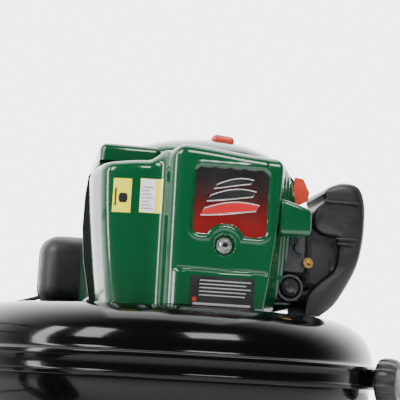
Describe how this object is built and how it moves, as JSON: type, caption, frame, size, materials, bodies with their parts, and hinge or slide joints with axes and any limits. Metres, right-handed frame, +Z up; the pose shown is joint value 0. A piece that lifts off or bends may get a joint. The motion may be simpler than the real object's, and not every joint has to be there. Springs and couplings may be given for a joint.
{
  "type": "walk behind leaf blower",
  "caption": "Wheeled leaf blower pushed by a folding handle: small upright-shaft four-stroke engine on a flat spiral fan housing, side outlet with a tilting hood.",
  "frame": {"origin": "middle of the footprint, on the floor", "axes": "+X is the way it is pushed, with the caster in front and the handle behind, +Y is the outlet side, +Z is up"},
  "size_m": [1.274, 0.6016, 0.9028],
  "materials": {
    "black_gloss_plastic": "glossy moulded",
    "green_gloss_plastic": "deep glossy green, moulded in one",
    "dark_green_plastic": "dark green, glossy",
    "black_matte_plastic": "fine satin texture",
    "orange_plastic": "satin",
    "cast_aluminium": "as cast, machined on the joint faces",
    "bright_steel": "zinc plated",
    "fitting_brass": "turned",
    "black_rubber": "matte",
    "tyre_rubber": "matte, ribbed tread",
    "clear_vinyl": "soft, clear, glossy",
    "grip_foam": "closed-cell foam",
    "black_paint": "gloss powder coat"
  },
  "bodies": {
    "chassis": {"volute_top": "black_gloss_plastic", "volute_bottom": "black_gloss_plastic", "intake_grille": "black_paint", "deflector_hinge": "bright_steel", "crankcase": "cast_aluminium", "cylinder": "cast_aluminium", "piston": "cast_aluminium", "cylinder_head": "cast_aluminium", "spark_plug": "bright_steel", "spark_plug_cap": "black_rubber", "ignition_coil": "black_matte_plastic", "muffler": "bright_steel", "front_cover": "green_gloss_plastic", "cover_bolt": "bright_steel", "baffle_plate": "black_matte_plastic", "rear_cover": "dark_green_plastic", "starter_housing": "dark_green_plastic", "carburettor": "cast_aluminium", "fuel_fitting": "fitting_brass", "filter_cover": "black_matte_plastic", "filter_element": "grip_foam", "fuel_tank": "black_matte_plastic", "fuel_line": "black_rubber", "chassis_frame": "black_paint", "rubber_mount_front": "black_rubber", "rubber_mount_rear": "black_rubber", "rear_axle": "bright_steel", "handle_lower": "black_paint", "fold_rod": "bright_steel", "throttle_cable_lower": "black_rubber"},
    "crank": {"crankshaft": "bright_steel", "flywheel": "cast_aluminium", "impeller": "cast_aluminium", "impeller_bolt": "bright_steel"},
    "starter_pulley": {"starter_pulley": "black_matte_plastic"},
    "starter_grip": {"starter_handle": "orange_plastic", "starter_rope": "black_rubber"},
    "deflector": {"deflector_hood": "black_matte_plastic"},
    "wheel_near": {"tyre_near": "tyre_rubber", "rim_near": "black_matte_plastic"},
    "wheel_far": {"tyre_far": "tyre_rubber", "rim_far": "black_matte_plastic"},
    "caster": {"caster_fork": "bright_steel"},
    "caster_wheel": {"caster_tyre": "tyre_rubber", "caster_rim": "black_matte_plastic"},
    "handle": {"handle_upper": "black_paint", "hand_grip_near": "grip_foam", "hand_grip_far": "grip_foam", "control_box": "black_matte_plastic", "throttle_cable_upper": "black_rubber"},
    "fold_knob_near": {"fold_knob_near": "black_matte_plastic"},
    "fold_knob_far": {"fold_knob_far": "black_matte_plastic"},
    "throttle_lever": {"throttle_lever": "orange_plastic"},
    "stop_switch": {"stop_switch": "orange_plastic"},
    "throttle_arm": {"throttle_arm": "bright_steel"},
    "choke_lever": {"choke_lever": "orange_plastic"},
    "primer_bulb": {"primer_bulb": "clear_vinyl"},
    "fuel_cap": {"fuel_cap": "black_matte_plastic"},
    "clamp_knob_front": {"clamp_knob_front": "black_matte_plastic"},
    "clamp_knob_rear": {"clamp_knob_rear": "black_matte_plastic"}
  },
  "joints": [
    {"name": "crank_spin", "type": "hinge", "parent": "chassis", "child": "crank", "pos_m": [0.34003, -0.00677, 0.2], "axis": [0, 0, 1], "continuous": true},
    {"name": "starter_pull", "type": "slide", "parent": "chassis", "child": "starter_grip", "axis": [-0.6, 0, 0.8], "range_m": [0, 0.45], "stiffness_N_per_m": 12},
    {"name": "starter_spin", "type": "hinge", "parent": "chassis", "child": "starter_pulley", "pos_m": [0.34003, -0.00677, 0.405], "axis": [0, 0, 1], "range_deg": [0, 1080]},
    {"name": "deflector_tilt", "type": "hinge", "parent": "chassis", "child": "deflector", "pos_m": [0.16003, 0.22123, 0.266], "axis": [1, 0, 0], "range_deg": [0, 45]},
    {"name": "wheel_near_spin", "type": "hinge", "parent": "chassis", "child": "wheel_near", "pos_m": [-0.01997, -0.26177, 0.1], "axis": [0, 1, 0], "continuous": true},
    {"name": "wheel_far_spin", "type": "hinge", "parent": "chassis", "child": "wheel_far", "pos_m": [-0.01997, 0.24823, 0.1], "axis": [0, 1, 0], "continuous": true},
    {"name": "caster_swivel", "type": "hinge", "parent": "chassis", "child": "caster", "pos_m": [0.60203, -0.00677, 0.1285], "axis": [0, 0, 1], "continuous": true},
    {"name": "caster_wheel_spin", "type": "hinge", "parent": "caster", "child": "caster_wheel", "pos_m": [0.57203, -0.00677, 0.065], "axis": [0, 1, 0], "continuous": true},
    {"name": "handle_fold", "type": "hinge", "parent": "chassis", "child": "handle", "pos_m": [-0.27997, -0.00677, 0.56], "axis": [0, 1, 0], "range_deg": [0, 150]},
    {"name": "fold_knob_near_turn", "type": "hinge", "parent": "chassis", "child": "fold_knob_near", "pos_m": [-0.27997, -0.21977, 0.56], "axis": [0, -1, 0], "range_deg": [0, 180]},
    {"name": "fold_knob_far_turn", "type": "hinge", "parent": "chassis", "child": "fold_knob_far", "pos_m": [-0.27997, 0.20622, 0.56], "axis": [0, 1, 0], "range_deg": [0, 180]},
    {"name": "throttle_lever_swing", "type": "hinge", "parent": "handle", "child": "throttle_lever", "pos_m": [-0.60503, -0.00677, 0.86283], "axis": [0, 1, 0], "range_deg": [0, 50]},
    {"name": "throttle_arm_swing", "type": "hinge", "parent": "chassis", "child": "throttle_arm", "pos_m": [0.41003, -0.07858, 0.3445], "axis": [0, 1, 0], "range_deg": [0, 50]},
    {"name": "stop_switch_press", "type": "slide", "parent": "handle", "child": "stop_switch", "axis": [0, 0, -1], "range_m": [0, 0.0025], "stiffness_N_per_m": 300},
    {"name": "choke_lever_swing", "type": "hinge", "parent": "chassis", "child": "choke_lever", "pos_m": [0.41003, -0.09627, 0.343], "axis": [0, 1, 0], "range_deg": [-30, 0]},
    {"name": "primer_press", "type": "slide", "parent": "chassis", "child": "primer_bulb", "axis": [0, 1, 0], "range_m": [0, 0.004], "stiffness_N_per_m": 200},
    {"name": "fuel_cap_turn", "type": "hinge", "parent": "chassis", "child": "fuel_cap", "pos_m": [0.40003, 0.13123, 0.35], "axis": [0, 0, 1], "range_deg": [0, 90]},
    {"name": "clamp_knob_front_turn", "type": "hinge", "parent": "chassis", "child": "clamp_knob_front", "pos_m": [0.50551, -0.13606, 0.204], "axis": [0.788, -0.6157, 0], "range_deg": [0, 180]},
    {"name": "clamp_knob_rear_turn", "type": "hinge", "parent": "chassis", "child": "clamp_knob_rear", "pos_m": [0.38921, 0.17675, 0.204], "axis": [0.2588, 0.9659, 0], "range_deg": [0, 180]}
  ],
  "couplings": [
    {"joint": "starter_spin", "follows": "starter_pull", "rad_per_m": 41.667},
    {"joint": "throttle_arm_swing", "follows": "throttle_lever_swing", "ratio": 1}
  ]
}
